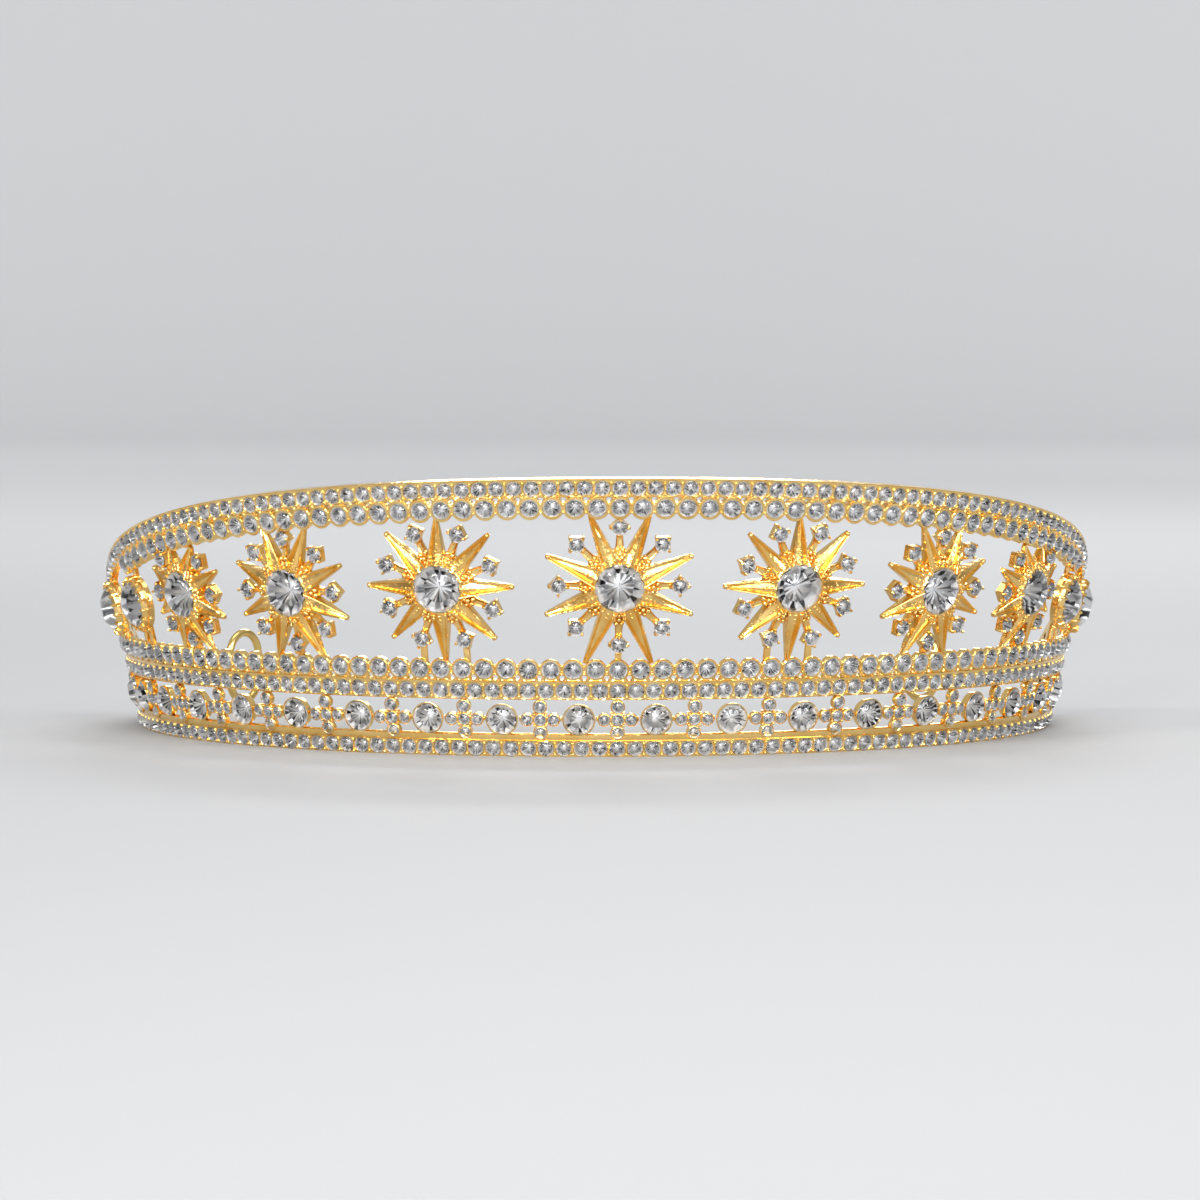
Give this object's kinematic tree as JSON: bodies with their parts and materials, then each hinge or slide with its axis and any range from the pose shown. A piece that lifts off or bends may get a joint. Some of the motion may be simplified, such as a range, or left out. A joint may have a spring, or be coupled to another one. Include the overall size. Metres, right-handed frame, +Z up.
{
  "type": "bridal crown",
  "caption": "Open cast crown for a bride: pierced gold band with stone-set suns, rows of crosses and crystals, and wire arms with ribbon loops.",
  "frame": {"origin": "centre of the bounding box in plan, on the plane of the flat lower edge that the crown stands on", "axes": "+Z up; the front of the crown faces -Y, and the arms point to +Y; X runs from side to side"},
  "size_m": [0.1574, 0.1299, 0.042],
  "materials": {
    "gold": "bright polished gold plate on a cast alloy",
    "wire": "dull gold plated spring wire",
    "crystal": "clear cut glass with a foil back"
  },
  "bodies": {
    "root": {"band": "gold", "arm_left": "wire", "arm_right": "wire", "ray_stones": "crystal", "top_scallop_stones": "crystal", "middle_scallop_stones": "crystal", "sun_stone_1": "crystal", "sun_stone_2": "crystal", "sun_stone_3": "crystal", "sun_stone_4": "crystal", "sun_stone_5": "crystal", "sun_stone_6": "crystal", "sun_stone_7": "crystal", "ring_stone_1": "crystal", "ring_stone_2": "crystal", "ring_stone_3": "crystal", "ring_stone_4": "crystal", "round_stone_1": "crystal", "round_stone_2": "crystal", "round_stone_3": "crystal", "round_stone_4": "crystal", "round_stone_5": "crystal", "round_stone_6": "crystal", "round_stone_7": "crystal", "round_stone_8": "crystal", "round_stone_9": "crystal", "round_stone_10": "crystal", "round_stone_11": "crystal", "round_stone_12": "crystal", "round_stone_13": "crystal", "round_stone_14": "crystal", "round_stone_15": "crystal", "round_stone_16": "crystal", "round_stone_17": "crystal", "round_stone_18": "crystal", "round_stone_19": "crystal", "round_stone_20": "crystal", "round_stone_21": "crystal", "round_stone_22": "crystal"}
  },
  "joints": []
}
